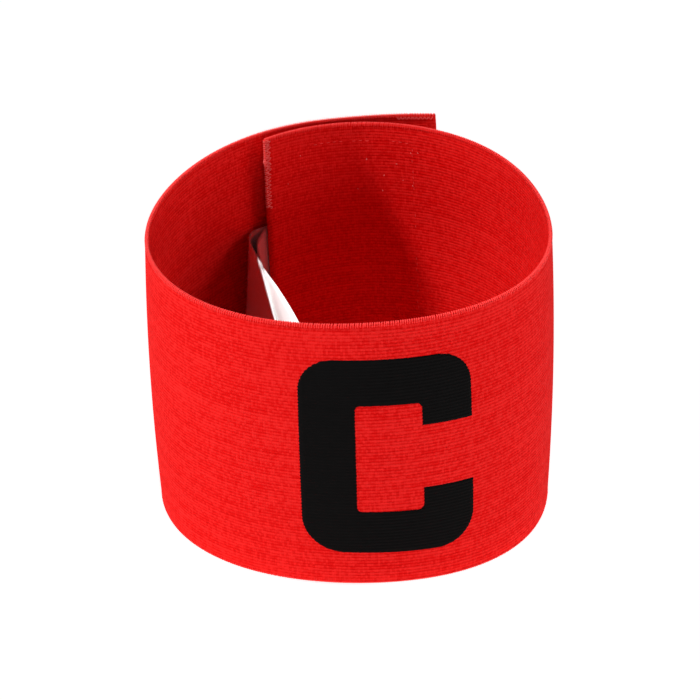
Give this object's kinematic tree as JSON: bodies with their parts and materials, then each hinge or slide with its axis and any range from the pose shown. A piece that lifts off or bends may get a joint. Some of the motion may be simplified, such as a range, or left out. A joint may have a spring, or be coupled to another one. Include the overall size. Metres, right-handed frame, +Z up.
{
  "type": "captain armband",
  "caption": "Wide elastic armband closed into a loop by a lapped fastener at the back, with a raised block C on the front and a blank folded label inside.",
  "frame": {"origin": "centre of the bounding box in plan, on the surface that the loop stands on", "axes": "+Z up along the loop's axis, -Y towards the lettered front, +Y towards the lap at the back, +X to the right seen from the front"},
  "size_m": [0.0966, 0.1052, 0.07],
  "materials": {
    "elastic": "red ribbed woven elastic, matt with a slight sheen",
    "fastener_pile": "red hook and loop pile, matt",
    "print": "black matt print that takes the rib of the elastic",
    "label_ribbon": "white satin ribbon, blank, slightly translucent"
  },
  "bodies": {
    "root": {"band": "elastic", "fastener": "fastener_pile", "letter_c": "print", "label": "label_ribbon"}
  },
  "joints": []
}
